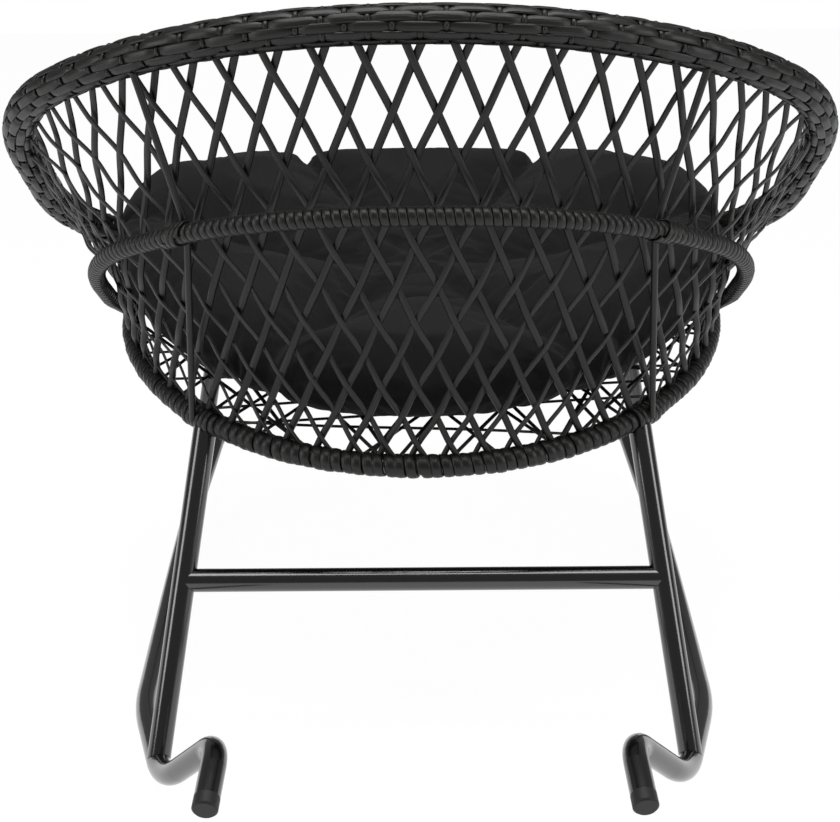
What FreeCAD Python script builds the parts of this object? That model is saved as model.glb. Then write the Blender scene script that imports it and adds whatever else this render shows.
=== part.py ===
"""Rattan rocking chair: a bent steel tube frame on two curved runners, a woven basket and a round cushion.

Millimetres, +Z up, front of the chair towards -Y. The shapes are laid out with the centre of the
seat ring over the Z axis, and moved at the end so that the origin is under the middle of the chair.
"""

import FreeCAD, Part
import math
import os

Vector = FreeCAD.Vector

# Fits
SEAT_GAP = 0.3            # a piece that rests on a curved neighbour
SLEEVE_GAP = 0.15         # a wrap round its own tube
WEAVE_GAP = 0.4           # strands that pass each other
FLAT_GAP = 0.05           # a plug in its bore, on the radius

# Wall of the tubes inside the wraps
CORE_WALL = 1.5

# Seat ring: closed tube, wrapped, tilted up to the front
RING_HALF_WIDTH = 392.0
RING_HALF_DEPTH = 416.0
RING_REAR_HEIGHT = 394.0
RING_TILT = 9.6
RING_TUBE_RADIUS = 11.0
RING_WRAP_RADIUS = 14.0

# Rim: tube arch in a thick woven sleeve, high at the back, landing on the ring's sides
RIM_HALF_WIDTH = 489.0
RIM_BEHIND_RING = 50.0
RIM_REAR_HEIGHT = 898.0
RIM_SLOPE = 29.0
RIM_BACK_HALF = 248.0
RIM_CORNER_REACH = 270.0
RIM_ARM_REACH = 543.0
RIM_ARM_SAG = 49.0
RIM_BACK_RADIUS = 536.0
RIM_CORNER_RADIUS = 313.0
RIM_ARM_RADIUS = 216.0
RIM_LANDING_ANGLE = 113.0
RIM_TUBE_RADIUS = 12.5
RIM_SLEEVE_RADIUS = 21.5

# Back hoop: thinner wrapped tube outside the weave
HOOP_HALF_WIDTH = 404.0
HOOP_BEHIND_RING = 60.0
HOOP_REAR_HEIGHT = 704.0
HOOP_SLOPE = 26.8
HOOP_BACK_HALF = 185.0
HOOP_CORNER_REACH = 230.0
HOOP_SIDE_HALF_WIDTH = 402.0
HOOP_SIDE_REACH = 389.0
HOOP_SIDE_SAG = 22.0
HOOP_BACK_RADIUS = 368.0
HOOP_CORNER_RADIUS = 290.0
HOOP_END_RADIUS = 53.0
HOOP_LANDING_ANGLE = 86.0
HOOP_TUBE_RADIUS = 8.0
HOOP_WRAP_RADIUS = 11.0

# Back struts: rods from ring to rim, lashed to the inside of the hoop
STRUT_RING_ANGLE = 42.0
STRUT_HOOP_HALF_SPREAD = 266.0
STRUT_RIM_HALF_SPREAD = 296.0
STRUT_STANDOFF = 14.5
STRUT_RADIUS = 4.0
STRUT_KNEE_RADIUS = 80.0
LASHING_WIDTH = 10.0
LASHING_THICKNESS = 2.5
LASHING_SLACK = 1.0
BINDING_RADIUS = 16.5
BINDING_LENGTH = 44.0
BINDING_BORE = 14.8       # straight, so it clears the ring's bend

# Lattice: two families of flat strands between rim and ring
STRAND_COUNT = 44
STRAND_WIDTH = 8.4
STRAND_THICKNESS = 2.4
STRAND_SWEEP = 5.5        # strand spacings that a strand crosses at the back
STRAND_SIDE_SWEEP = 1.75  # how many more it crosses at the ends of the rim
STRAND_MOST_LEAN = 1.2    # what a strand crosses, for each part of the wall's height
STRAND_PHASE = -0.24      # of one spacing
STRAND_SHORTEST = 22.0
CUT_STRAND_SHORTEST = 72.0

# Seat web: three layers of thin strands across the ring
WEB_PITCH = 55.0
WEB_WIDTH = 4.0
WEB_THICKNESS = 2.0
WEB_TURN = 60.0
WEB_SHORTEST = 150.0

# Legs, runners and stretcher: round steel tube
TUBE_RADIUS = 14.0
TUBE_WALL = 2.0
REAR_LEG_ANGLE = 40.8
FRONT_LEG_ANGLE = 134.0
REAR_LEG_FOOT = 487.0     # behind the ring's centre
FRONT_LEG_FOOT = -217.0
STRETCHER_SHARE = 0.475    # of the rear leg, from its top
ROCKER_RADIUS = 1750.0
ROCKER_HALF_ARC = 170.0
ROCKER_CONTACT = 88.0    # behind the ring's centre
RUNNER_HALF_SPREAD = 373.0
RUNNER_HEEL_HALF_SPREAD = 303.0
RUNNER_CREST_HALF_SPREAD = 222.0
RUNNER_TAIL_HALF_SPREAD = 226.0
RUNNER_SHOULDER_HALF_SPREAD = 356.0
RUNNER_TOE_HALF_SPREAD = 352.0
RUNNER_SHOULDER = 260.0   # distances along the chair from the contact
RUNNER_HEEL = 444.0
RUNNER_CREST = 537.0
RUNNER_TAIL = 608.0
RUNNER_KNEE = 276.0
RUNNER_TOE = 476.0
RUNNER_HEEL_HEIGHT = 52.0
RUNNER_CREST_HEIGHT = 167.0
RUNNER_TAIL_HEIGHT = 147.0
RUNNER_TOE_HEIGHT = 85.0
SHOULDER_BEND = 420.0
HEEL_BEND = 130.0
CREST_BEND = 45.0
KNEE_BEND = 500.0
CAP_HEAD = 16.0
CAP_PLUG = 22.0
CAP_EDGE = 2.0

# Cushion: round, resting on the web
CUSHION_RADIUS = 388.0
CUSHION_FORWARD = 14.0    # of the ring's centre
CUSHION_THICKNESS = 98.0
CUSHION_SHOULDER_HEIGHT = 85.0
CUSHION_BELLY_HEIGHT = 54.0
COVER_THICKNESS = 1.5


class BentPath:
    """A tube's centre line: straight runs joined by tangent arcs."""

    def __init__(self, points, radii, closed=False):
        corners = list(zip(points, radii))
        if closed:
            start = (points[0] + points[-1]) * 0.5
            end = start
        else:
            start = points[0]
            end = points[-1]
            corners = corners[1:-1]
        self.segments = []
        here = start
        for index, (corner, radius) in enumerate(corners):
            following = corners[index + 1][0] if index + 1 < len(corners) else end
            arriving = (corner - here).normalize()
            leaving = (following - corner).normalize()
            turn = arriving.getAngle(leaving)
            tangent = radius * math.tan(turn / 2)
            first = corner - arriving * tangent
            self.add_line(here, first)
            axis = arriving.cross(leaving).normalize()
            centre = first + axis.cross(arriving) * radius
            self.segments.append(("arc", centre, axis, first, turn, radius))
            here = corner + leaving * tangent
        self.add_line(here, end)
        self.length = sum(self.run_length(run) for run in self.segments)

    def add_line(self, start, end):
        if (end - start).Length > 0.01:
            self.segments.append(("line", start, end))

    @staticmethod
    def run_length(run):
        if run[0] == "line":
            return (run[2] - run[1]).Length
        return run[4] * run[5]

    def at(self, distance):
        """The point and the direction at a distance along the path."""
        for run in self.segments:
            span = self.run_length(run)
            if distance <= span or run is self.segments[-1]:
                break
            distance -= span
        if run[0] == "line":
            direction = (run[2] - run[1]).normalize()
            return run[1] + direction * distance, direction
        centre, axis, first, radius = run[1], run[2], run[3], run[5]
        turned = FreeCAD.Rotation(axis, math.degrees(distance / radius))
        arm = turned.multVec(first - centre)
        return centre + arm, axis.cross(arm).normalize()

    def distance_to(self, point):
        return min(self.run_distance(run, point) for run in self.segments)

    @staticmethod
    def run_distance(run, point):
        if run[0] == "line":
            along = run[2] - run[1]
            share = (point - run[1]).dot(along) / along.dot(along)
            return (point - run[1] - along * min(1.0, max(0.0, share))).Length
        centre, axis, first, turn, radius = run[1:]
        arm = point - centre
        flat = arm - axis * arm.dot(axis)
        angle = math.atan2(axis.dot((first - centre).cross(flat)), (first - centre).dot(flat))
        angle = min(turn, max(0.0, angle))
        nearest = FreeCAD.Rotation(axis, math.degrees(angle)).multVec(first - centre)
        return (arm - nearest).Length

    def part_of(self, start, end):
        """The stretch of the path between two distances along it."""
        piece = BentPath.__new__(BentPath)
        piece.segments = []
        passed = 0.0
        for run in self.segments:
            span = self.run_length(run)
            low = max(start - passed, 0.0)
            high = min(end - passed, span)
            if high - low > 0.01:
                first = self.at(passed + low)[0]
                if run[0] == "line":
                    piece.segments.append(("line", first, self.at(passed + high)[0]))
                else:
                    turn = (high - low) / run[5]
                    piece.segments.append(("arc", run[1], run[2], first, turn, run[5]))
            passed += span
        piece.length = sum(piece.run_length(run) for run in piece.segments)
        return piece


def skin(path, radius):
    """The round faces of a tube along a path, and its two end circles."""
    start, direction = path.at(0.0)
    edge = Part.Circle(start, direction, radius).toShape()
    first = edge
    faces = []
    for run in path.segments:
        if run[0] == "line":
            faces.append(edge.extrude(run[2] - run[1]))
            edge = edge.translated(run[2] - run[1])
        else:
            centre, axis, turn = run[1], run[2], math.degrees(run[4])
            faces.append(edge.revolve(centre, axis, turn))
            edge = edge.rotated(centre, axis, turn)
    return faces, first, edge


def closed_solid(faces):
    shell = Part.makeShell(faces)
    shell.sewShape()
    solid = Part.makeSolid(Part.Shell(shell.Faces))
    if solid.Volume < 0:
        solid = Part.makeSolid(Part.Shell([face.reversed() for face in shell.Faces]))
    return solid


def rod(path, radius, closed=False):
    faces, first, last = skin(path, radius)
    if not closed:
        faces += [Part.Face(Part.Wire(first)), Part.Face(Part.Wire(last))]
    return closed_solid(faces)


def pipe(path, outer, inner, closed=False):
    """A hollow tube along a path."""
    return rod(path, outer, closed).cut(rod(path, inner, closed))


def mirrored(shape):
    return shape.mirror(Vector(0, 0, 0), Vector(1, 0, 0))


def both_sides(points):
    """A symmetric row of points: the given right-hand ones, and the same on the left."""
    return [Vector(-p.x, p.y, p.z) for p in points] + list(reversed(points))


def corners_of(centre, across, thick):
    return [centre + across + thick, centre - across + thick,
            centre - across - thick, centre + across - thick]


def polyhedron(sections):
    """A solid through four-cornered sections, with flat faces only."""
    triangles = []
    for near, far in zip(sections, sections[1:]):
        for side in range(4):
            a, b = near[side], near[(side + 1) % 4]
            c, d = far[(side + 1) % 4], far[side]
            triangles += [(a, b, c), (a, c, d)]
    faces = [Part.Face(Part.makePolygon([a, b, c, a])) for a, b, c in triangles]
    for corners in (sections[0], sections[-1]):
        faces.append(Part.Face(Part.makePolygon(corners + corners[:1])))
    return closed_solid(faces)


def bar(start, end, across_start, across_end, thick):
    """A straight flat strand with ends cut on a slant."""
    corners = []
    for point, across in ((start, across_start), (end, across_end)):
        corners.append([point + across + thick, point - across + thick,
                        point - across - thick, point + across - thick])
    near, far = corners
    loops = [near, far]
    loops += [[near[k], near[(k + 1) % 4], far[(k + 1) % 4], far[k]] for k in range(4)]
    return closed_solid([Part.Face(Part.makePolygon(loop + loop[:1])) for loop in loops])


def turning_point(path, start, end, before):
    """The distance along a path at which its points stop passing a test."""
    for _ in range(50):
        middle = (start + end) / 2
        if before(path.at(middle)[0]):
            start = middle
        else:
            end = middle
    return end


# Seat ring, in its tilted plane
tilt = math.radians(RING_TILT)
RING_BACKWARD = Vector(0, math.cos(tilt), -math.sin(tilt))
RING_UP = Vector(0, math.sin(tilt), math.cos(tilt))
RING_CENTRE = Vector(0, 0, RING_REAR_HEIGHT + RING_HALF_DEPTH * math.sin(tilt))
RING_REAR = RING_CENTRE + RING_BACKWARD * RING_HALF_DEPTH
RING_CORNERS = 8


def ring_path():
    """Arcs that touch the ring's ellipse, from the middle of the back round by +X."""
    half_step = math.pi / RING_CORNERS
    outward = 1 / math.cos(half_step)
    corners = []
    for index in range(RING_CORNERS):
        angle = half_step * (2 * index + 1)
        side = RING_HALF_WIDTH * math.sin(angle) * outward
        back = RING_HALF_DEPTH * math.cos(angle) * outward
        corners.append(RING_CENTRE + Vector(side, 0, 0) + RING_BACKWARD * back)
    radii = []
    for index, corner in enumerate(corners):
        before = corners[index - 1]
        after = corners[(index + 1) % RING_CORNERS]
        tangent = min((corner - before).Length, (after - corner).Length) / 2
        turn = (corner - before).getAngle(after - corner)
        radii.append(tangent / math.tan(turn / 2))
    return BentPath(corners, radii, True)


ring = ring_path()


def ring_at(angle):
    """Ring point and direction at an angle from the back, positive towards +X."""
    return ring.at(ring.length * (angle % 360.0) / 360.0)


def sloped(side, reach_down, rear, slope):
    """A point of a plane that falls from the back of the chair to its front."""
    fall = math.radians(slope)
    return Vector(side, rear.y - reach_down * math.cos(fall), rear.z - reach_down * math.sin(fall))


def rim_path():
    rear = Vector(0, RING_REAR.y + RIM_BEHIND_RING, RIM_REAR_HEIGHT)
    arm = sloped(RIM_HALF_WIDTH, RIM_ARM_REACH, rear, RIM_SLOPE) - Vector(0, 0, RIM_ARM_SAG)
    half = [ring_at(RIM_LANDING_ANGLE)[0], arm,
            sloped(RIM_HALF_WIDTH, RIM_CORNER_REACH, rear, RIM_SLOPE),
            sloped(RIM_BACK_HALF, 0.0, rear, RIM_SLOPE)]
    radii = [0.0, RIM_ARM_RADIUS, RIM_CORNER_RADIUS, RIM_BACK_RADIUS]
    return BentPath(both_sides(half), radii + radii[::-1])


def hoop_path():
    rear = Vector(0, RING_REAR.y + HOOP_BEHIND_RING, HOOP_REAR_HEIGHT)
    side = sloped(HOOP_SIDE_HALF_WIDTH, HOOP_SIDE_REACH, rear, HOOP_SLOPE) - Vector(0, 0, HOOP_SIDE_SAG)
    half = [ring_at(HOOP_LANDING_ANGLE)[0],
            side,
            sloped(HOOP_HALF_WIDTH, HOOP_CORNER_REACH, rear, HOOP_SLOPE),
            sloped(HOOP_BACK_HALF, 0.0, rear, HOOP_SLOPE)]
    radii = [0.0, HOOP_END_RADIUS, HOOP_CORNER_RADIUS, HOOP_BACK_RADIUS]
    return BentPath(both_sides(half), radii + radii[::-1])


def runner_path():
    """The right-hand runner, from its tail behind the chair to its toe."""
    half_angle = math.asin(ROCKER_HALF_ARC / ROCKER_RADIUS)
    low = TUBE_RADIUS - ROCKER_RADIUS * (1 / math.cos(half_angle) - 1)
    rise = math.tan(half_angle)

    def point(half_spread, back, height):
        return Vector(half_spread, ROCKER_CONTACT + back, height)

    points = [point(RUNNER_TAIL_HALF_SPREAD, RUNNER_TAIL, RUNNER_TAIL_HEIGHT),
              point(RUNNER_CREST_HALF_SPREAD, RUNNER_CREST, RUNNER_CREST_HEIGHT),
              point(RUNNER_HEEL_HALF_SPREAD, RUNNER_HEEL, RUNNER_HEEL_HEIGHT),
              point(RUNNER_SHOULDER_HALF_SPREAD, RUNNER_SHOULDER, low + rise * RUNNER_SHOULDER),
              point(RUNNER_HALF_SPREAD, 0.0, low),
              point(RUNNER_HALF_SPREAD, -RUNNER_KNEE, low + rise * RUNNER_KNEE),
              point(RUNNER_TOE_HALF_SPREAD, -RUNNER_TOE, RUNNER_TOE_HEIGHT)]
    radii = [0.0, CREST_BEND, HEEL_BEND, SHOULDER_BEND, ROCKER_RADIUS, KNEE_BEND, 0.0]
    return BentPath(points, radii)


rim = rim_path()
hoop = hoop_path()
runner = runner_path()
nodes = {}

# Wrapped tubes
ring_clear = rod(ring, RING_WRAP_RADIUS + SEAT_GAP, True)
nodes["seat_ring_tube"] = [pipe(ring, RING_TUBE_RADIUS, RING_TUBE_RADIUS - CORE_WALL, True)]
nodes["seat_ring_wrap"] = [pipe(ring, RING_WRAP_RADIUS, RING_TUBE_RADIUS + SLEEVE_GAP, True)]
nodes["rim_tube"] = [pipe(rim, RIM_TUBE_RADIUS, RIM_TUBE_RADIUS - CORE_WALL).cut(ring_clear)]
nodes["rim_woven_sleeve"] = [pipe(rim, RIM_SLEEVE_RADIUS, RIM_TUBE_RADIUS + SLEEVE_GAP).cut(ring_clear)]
nodes["back_hoop_tube"] = [pipe(hoop, HOOP_TUBE_RADIUS, HOOP_TUBE_RADIUS - CORE_WALL).cut(ring_clear)]
nodes["back_hoop_wrap"] = [pipe(hoop, HOOP_WRAP_RADIUS, HOOP_TUBE_RADIUS + SLEEVE_GAP).cut(ring_clear)]


# Back struts with their bindings and lashings
def outward_at(point):
    """Level direction from the chair's middle to a point."""
    return Vector(point.x, point.y, 0).normalize()


def strut_parts():
    foot = ring_at(STRUT_RING_ANGLE)[0]
    belt_at = turning_point(hoop, hoop.length / 2, hoop.length * 0.8,
                            lambda p: p.x < STRUT_HOOP_HALF_SPREAD)
    belt, belt_way = hoop.at(belt_at)
    head_at = turning_point(rim, rim.length / 2, rim.length * 0.8, lambda p: p.x < STRUT_RIM_HALF_SPREAD)
    head = rim.at(head_at)[0]
    inward = belt_way.cross(head - foot).normalize()
    if inward.dot(outward_at(belt)) > 0:
        inward = -inward
    knee = belt + inward * (HOOP_WRAP_RADIUS + SEAT_GAP + STRUT_RADIUS)
    foot = foot + outward_at(foot) * STRUT_STANDOFF
    head = head + outward_at(head) * STRUT_STANDOFF
    line = BentPath([foot, knee, head], [0.0, STRUT_KNEE_RADIUS, 0.0])
    on_ring, ring_way = ring_at(STRUT_RING_ANGLE)
    half_band = ring_way * (BINDING_LENGTH / 2)
    band = BentPath([on_ring - half_band, on_ring + half_band], [0.0, 0.0])
    binding = pipe(band, BINDING_RADIUS, BINDING_BORE)
    rim_clear = rod(rim, RIM_SLEEVE_RADIUS + SEAT_GAP)
    band_clear = rod(band, BINDING_RADIUS + SEAT_GAP)
    strut = rod(line, STRUT_RADIUS).cut(rim_clear).cut(band_clear).cut(ring_clear)
    tie = lashing(belt, belt_way, inward, (knee - foot, head - knee))
    tie = tie.cut(rod(hoop, HOOP_WRAP_RADIUS + SEAT_GAP)).cut(rod(line, STRUT_RADIUS + SEAT_GAP))
    return strut, binding, tie, band_clear


def lashing(belt, belt_way, inward, strut_ways):
    """A slanted loop of strand round the hoop and the strut beside it."""
    drift = max(abs(way.dot(inward)) / way.Length for way in strut_ways)
    strut_way = strut_ways[0] + strut_ways[1]
    strut_way = (strut_way - inward * strut_way.dot(inward)).normalize()
    across = (belt_way + strut_way).normalize()
    through = inward.cross(across).normalize()
    slant = belt_way.getAngle(through)
    lean = LASHING_WIDTH / 2 * math.tan(slant)
    hoop_half = HOOP_WRAP_RADIUS / math.cos(slant) + lean + LASHING_SLACK
    strut_half = STRUT_RADIUS / math.cos(slant) + lean + LASHING_SLACK
    low = HOOP_WRAP_RADIUS + LASHING_SLACK + hoop_half ** 2 / (2 * HOOP_BACK_RADIUS)
    high = HOOP_WRAP_RADIUS + SEAT_GAP + 2 * STRUT_RADIUS + LASHING_SLACK
    high += drift * (strut_half + STRUT_RADIUS)
    half_outline = [(-low, hoop_half * 0.7), (0.0, hoop_half),
                    (HOOP_WRAP_RADIUS, hoop_half), (high, strut_half)]
    outline = half_outline + [(a, -b) for a, b in reversed(half_outline)]
    base = belt - through * (LASHING_WIDTH / 2)
    loop = Part.makePolygon([base + inward * a + across * b for a, b in outline + outline[:1]])
    outer = loop.makeOffset2D(LASHING_THICKNESS)
    return Part.Face(outer).cut(Part.Face(loop)).extrude(through * LASHING_WIDTH)


strut, binding, tie, band_clear = strut_parts()
for name, shape in (("back_strut", strut), ("strut_binding", binding), ("strut_lashing", tie)):
    nodes[name + "_right"] = [mirrored(shape)]
    nodes[name + "_left"] = [shape]


# Lattice: laid strands run straight, woven strands pass over and under them.
# Near the ends of the hoop, where it comes through the weave, a strand stops on either side of it.
SPAN_STEPS = 400
STRAND_APART = 30.0       # lines further apart than this don't pass each other
END_ROOM = 3.0            # between a strand's end and where it first lies flat
TURN_ROOM = 4.0           # between two passes, for a strand to change sides
SLIVER = 0.2              # a volume too small to trim


def ring_clearance(point):
    """How far a strand's end stays from the ring's centre line, on its wrap or on a strut's binding."""
    beside = BINDING_LENGTH / 2 + BINDING_RADIUS + STRAND_WIDTH
    centre = ring_at(STRUT_RING_ANGLE)[0]
    on_binding = (Vector(abs(point.x), point.y, point.z) - centre).Length < beside
    bulge = (BINDING_LENGTH / 2) ** 2 / (2 * RING_HALF_WIDTH)
    return (BINDING_RADIUS + bulge if on_binding else RING_WRAP_RADIUS) + SEAT_GAP


class Strand:
    def __init__(self, top_share, bottom_share):
        self.top, self.top_way = rim.at(rim.length * top_share)
        self.bottom, self.bottom_way = ring_at(RIM_LANDING_ANGLE * (2 * bottom_share - 1))
        self.way = (self.bottom - self.top).normalize()
        span = (self.bottom - self.top).Length
        middle = (self.top + self.bottom) * 0.5
        self.out = self.way.cross(self.top_way).normalize()
        if self.out.dot(Vector(middle.x, middle.y, 0)) < 0:
            self.out = -self.out
        self.across = self.out.cross(self.way)
        self.start = self.last_clear(span / 2, 0.0, self.top_way, rim, RIM_SLEEVE_RADIUS + SEAT_GAP)
        self.end = self.last_clear(span / 2, span, self.bottom_way, ring, ring_clearance(self.bottom))

    def at(self, distance):
        return self.top + self.way * distance

    def last_clear(self, near, far, tube_way, tube, clear):
        """How far towards a tube the strand goes until one of its end's corners would touch the tube."""
        for _ in range(40):
            middle = (near + far) / 2
            end = corners_of(self.at(middle), self.slanted(tube_way), self.out * (STRAND_THICKNESS / 2))
            if all(tube.distance_to(corner) > clear for corner in end):
                near = middle
            else:
                far = middle
        return near

    def spans(self, clear):
        """The stretches of the strand that keep a distance from the hoop, and each end's direction."""
        step = (self.end - self.start) / SPAN_STEPS
        stretches = []
        start = self.start
        start_way = self.top_way
        was_free = True
        for index in range(SPAN_STEPS + 1):
            here = self.start + index * step
            free = hoop.distance_to(self.at(here)) > clear
            if was_free and not free:
                stretches.append((start, here - step, start_way, self.across))
            if free and not was_free:
                start = here
                start_way = self.across
            was_free = free
        if was_free:
            stretches.append((start, self.end, start_way, self.bottom_way))
        shortest = CUT_STRAND_SHORTEST if len(stretches) > 1 else STRAND_SHORTEST
        return [span for span in stretches if span[1] - span[0] > shortest]

    def slanted(self, along):
        """Half the strand's width, laid along the tube that it ends on."""
        flat = (along - self.out * along.dot(self.out)).normalize()
        return flat * (STRAND_WIDTH / 2 / flat.dot(self.across))


def wall(share):
    return (rim.at(rim.length * share)[0] - ring_at(RIM_LANDING_ANGLE * (2 * share - 1))[0]).Length


def strand_lean(share):
    """Half of what a strand crosses, as a share of the rim: most at the sides, unless the wall is low."""
    crossed = (STRAND_SWEEP + STRAND_SIDE_SWEEP * abs(2 * share - 1)) / STRAND_COUNT
    return min(crossed, STRAND_MOST_LEAN * wall(share) / rim.length) / 2


def strand_family(direction, shift):
    """Strands side by side, all leaning the same way round the basket."""
    family = []
    for index in range(STRAND_COUNT):
        share = (index + 0.5 + shift + STRAND_PHASE) / STRAND_COUNT
        lean = direction * strand_lean(share)
        strand = Strand(share - lean, share + lean)
        strand.index = index
        clear_of_rim = rim.distance_to((strand.at(strand.start) + strand.at(strand.end)) * 0.5)
        if strand.end - strand.start > STRAND_SHORTEST and clear_of_rim > RIM_SLEEVE_RADIUS + STRAND_WIDTH:
            family.append(strand)
    return family


def crossing(woven, laid):
    """Distances along two strands to where they pass each other, and their angle."""
    gap = laid.top - woven.top
    cosine = woven.way.dot(laid.way)
    sine_squared = 1 - cosine * cosine
    along_woven = (gap.dot(woven.way) - cosine * gap.dot(laid.way)) / sine_squared
    along_laid = (cosine * gap.dot(woven.way) - gap.dot(laid.way)) / sine_squared
    return along_woven, along_laid, math.acos(cosine)


def flattened(vector, upright):
    return vector - upright * vector.dot(upright)


def passes_of(woven, start, end, laid_family):
    """The laid strands that a strand passes, in order, with the places, the length and the side of each."""
    found = []
    for laid in laid_family:
        along, along_laid, angle = crossing(woven, laid)
        lap = STRAND_WIDTH / 2 * (1 / math.sin(angle) + 1 / math.tan(angle))
        margin = lap + STRAND_WIDTH
        inside = start - margin < along < end + margin
        inside_laid = laid.start - margin < along_laid < laid.end + margin
        beside = (woven.at(along) - laid.at(along_laid)).Length < STRAND_APART
        if inside and inside_laid and beside:
            side = 1 if (woven.index + laid.index) % 2 else -1
            found.append([along, laid, along_laid, lap, side])
    found.sort(key=lambda item: item[0])
    for before, here in zip(found, found[1:]):
        if here[0] - before[0] < here[3] + before[3] + TURN_ROOM:
            here[4] = before[4]
    return found


def woven_sections(woven, span, laid_family):
    """Sections of a woven strand: one at each end, and two that lie flat on each strand that it passes.

    It changes sides from one pass to the next, or stays on its side where they are too close together.
    """
    half_thick = STRAND_THICKNESS / 2
    rise = STRAND_THICKNESS + WEAVE_GAP
    start, end, start_way, end_way = span
    passes = passes_of(woven, start, end, laid_family)
    start_slant = woven.slanted(start_way)
    end_slant = woven.slanted(end_way)
    first = corners_of(woven.at(start), start_slant, woven.out * half_thick)
    last = corners_of(woven.at(end), end_slant, woven.out * half_thick)
    middle = []
    reached = start + END_ROOM + abs(start_slant.dot(woven.way))
    until = end - END_ROOM - abs(end_slant.dot(woven.way))
    for index, (along, laid, along_laid, lap, side) in enumerate(passes):
        lifted = laid.at(along_laid) + laid.out * (side * rise)
        lift = laid.out * (lifted - woven.at(along)).dot(laid.out)
        flat_way = flattened(woven.way, laid.out).normalize()
        across = laid.out.cross(flat_way) * (STRAND_WIDTH / 2)
        thick = laid.out * half_thick
        if index == 0 and along - lap <= reached:
            first = corners_of(woven.at(start) + lift, across, thick)
        if index == len(passes) - 1 and along + lap >= until:
            last = corners_of(woven.at(end) + lift, across, thick)
        following = passes[index + 1][0] - passes[index + 1][3] if index + 1 < len(passes) else end
        for place, allowed in ((along - lap, along - lap > reached),
                               (along + lap, along + lap < min(following, until))):
            if allowed and place > reached:
                centre = lifted + flat_way * (place - along)
                middle.append(corners_of(centre, across, thick))
                reached = place
    return [first] + middle + [last]


def trimmed(strand, neighbours):
    """What is left of a strand beside the pieces that it ends on or lies on."""
    for neighbour in neighbours:
        if strand.BoundBox.intersect(neighbour.BoundBox) and strand.common(neighbour).Volume > SLIVER:
            strand = max(strand.cut(neighbour).Solids, key=lambda solid: solid.Volume)
    return strand


laid_strands = strand_family(1, 0.0)
woven_strands = strand_family(-1, 0.5)
half_strand = STRAND_THICKNESS / 2
laid_clear = HOOP_WRAP_RADIUS + SEAT_GAP + STRAND_WIDTH * 0.7
woven_clear = laid_clear + 2 * STRAND_THICKNESS
nodes["lattice_laid_strands"] = [
    bar(s.at(start), s.at(end), s.slanted(start_way), s.slanted(end_way), s.out * half_strand)
    for s in laid_strands for start, end, start_way, end_way in s.spans(laid_clear)]
beside_strands = [ring_clear, rod(rim, RIM_SLEEVE_RADIUS + SEAT_GAP), band_clear, mirrored(band_clear),
                  rod(hoop, laid_clear)] + nodes["lattice_laid_strands"]
nodes["lattice_woven_strands"] = [
    trimmed(polyhedron(woven_sections(strand, span, laid_strands)), beside_strands)
    for strand in woven_strands for span in strand.spans(woven_clear)]


# Seat web: parallel chords of the ring, one layer above the other
def web_layer(turn, height):
    angle = math.radians(turn)
    way = Vector(math.cos(angle), 0, 0) + RING_BACKWARD * math.sin(angle)
    sideways = RING_UP.cross(way)
    half = max(RING_HALF_WIDTH, RING_HALF_DEPTH)
    count = int((half - 2 * RING_WRAP_RADIUS) / WEB_PITCH)
    chords = []
    for index in range(-count, count + 1):
        middle = RING_CENTRE + RING_UP * height + sideways * (index * WEB_PITCH)
        ends = []
        for direction in (-way, way):
            near, far = 0.0, half
            for _ in range(40):
                trial = (near + far) / 2
                tips = [middle + direction * trial + sideways * (side * WEB_WIDTH / 2) for side in (-1, 1)]
                inside = all(in_ring(tip) and ring.distance_to(tip) > ring_clearance(tip) for tip in tips)
                near, far = (trial, far) if inside else (near, trial)
            ends.append(middle + direction * near)
        across = sideways * (WEB_WIDTH / 2)
        if (ends[1] - ends[0]).Length < WEB_SHORTEST:
            continue
        chords.append(bar(ends[0], ends[1], across, across, RING_UP * (WEB_THICKNESS / 2)))
    return chords


def in_ring(point):
    arm = point - RING_CENTRE
    back = arm.dot(RING_BACKWARD) / RING_HALF_DEPTH
    return (arm.x / RING_HALF_WIDTH) ** 2 + back ** 2 < 1


web_step = WEB_THICKNESS + SEAT_GAP
for name, turn, layer in (("seat_web_cross", 0.0, -1), ("seat_web_diagonal_left", WEB_TURN, 0),
                          ("seat_web_diagonal_right", -WEB_TURN, 1)):
    nodes[name] = web_layer(turn, layer * web_step)


# Runners, legs and stretcher
def along_runner(back):
    """Runner point at a distance behind the ring's centre."""
    return runner.at(turning_point(runner, 0.0, runner.length, lambda p: p.y > back))[0]


def leg_tube(top, foot, cutters):
    line = BentPath([top, foot], [0.0, 0.0])
    tube = pipe(line, TUBE_RADIUS, TUBE_RADIUS - TUBE_WALL)
    for cutter in cutters:
        tube = tube.cut(cutter)
    return tube


bore = TUBE_RADIUS - TUBE_WALL
runner_clear = rod(runner, TUBE_RADIUS + SEAT_GAP)
rear_top = ring_at(REAR_LEG_ANGLE)[0]
rear_foot = along_runner(REAR_LEG_FOOT)
front_top = ring_at(FRONT_LEG_ANGLE)[0]
front_foot = along_runner(FRONT_LEG_FOOT)
rear_leg = leg_tube(rear_top, rear_foot, [ring_clear, band_clear, runner_clear])
front_leg = leg_tube(front_top, front_foot, [ring_clear, runner_clear])
leg_clear = rod(BentPath([rear_top, rear_foot], [0.0, 0.0]), TUBE_RADIUS + SEAT_GAP)
rung = rear_top + (rear_foot - rear_top) * STRETCHER_SHARE
other_rung = Vector(-rung.x, rung.y, rung.z)
stretcher = pipe(BentPath([other_rung, rung], [0.0, 0.0]), TUBE_RADIUS, bore)
nodes["rear_stretcher"] = [stretcher.cut(leg_clear).cut(mirrored(leg_clear))]


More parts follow.
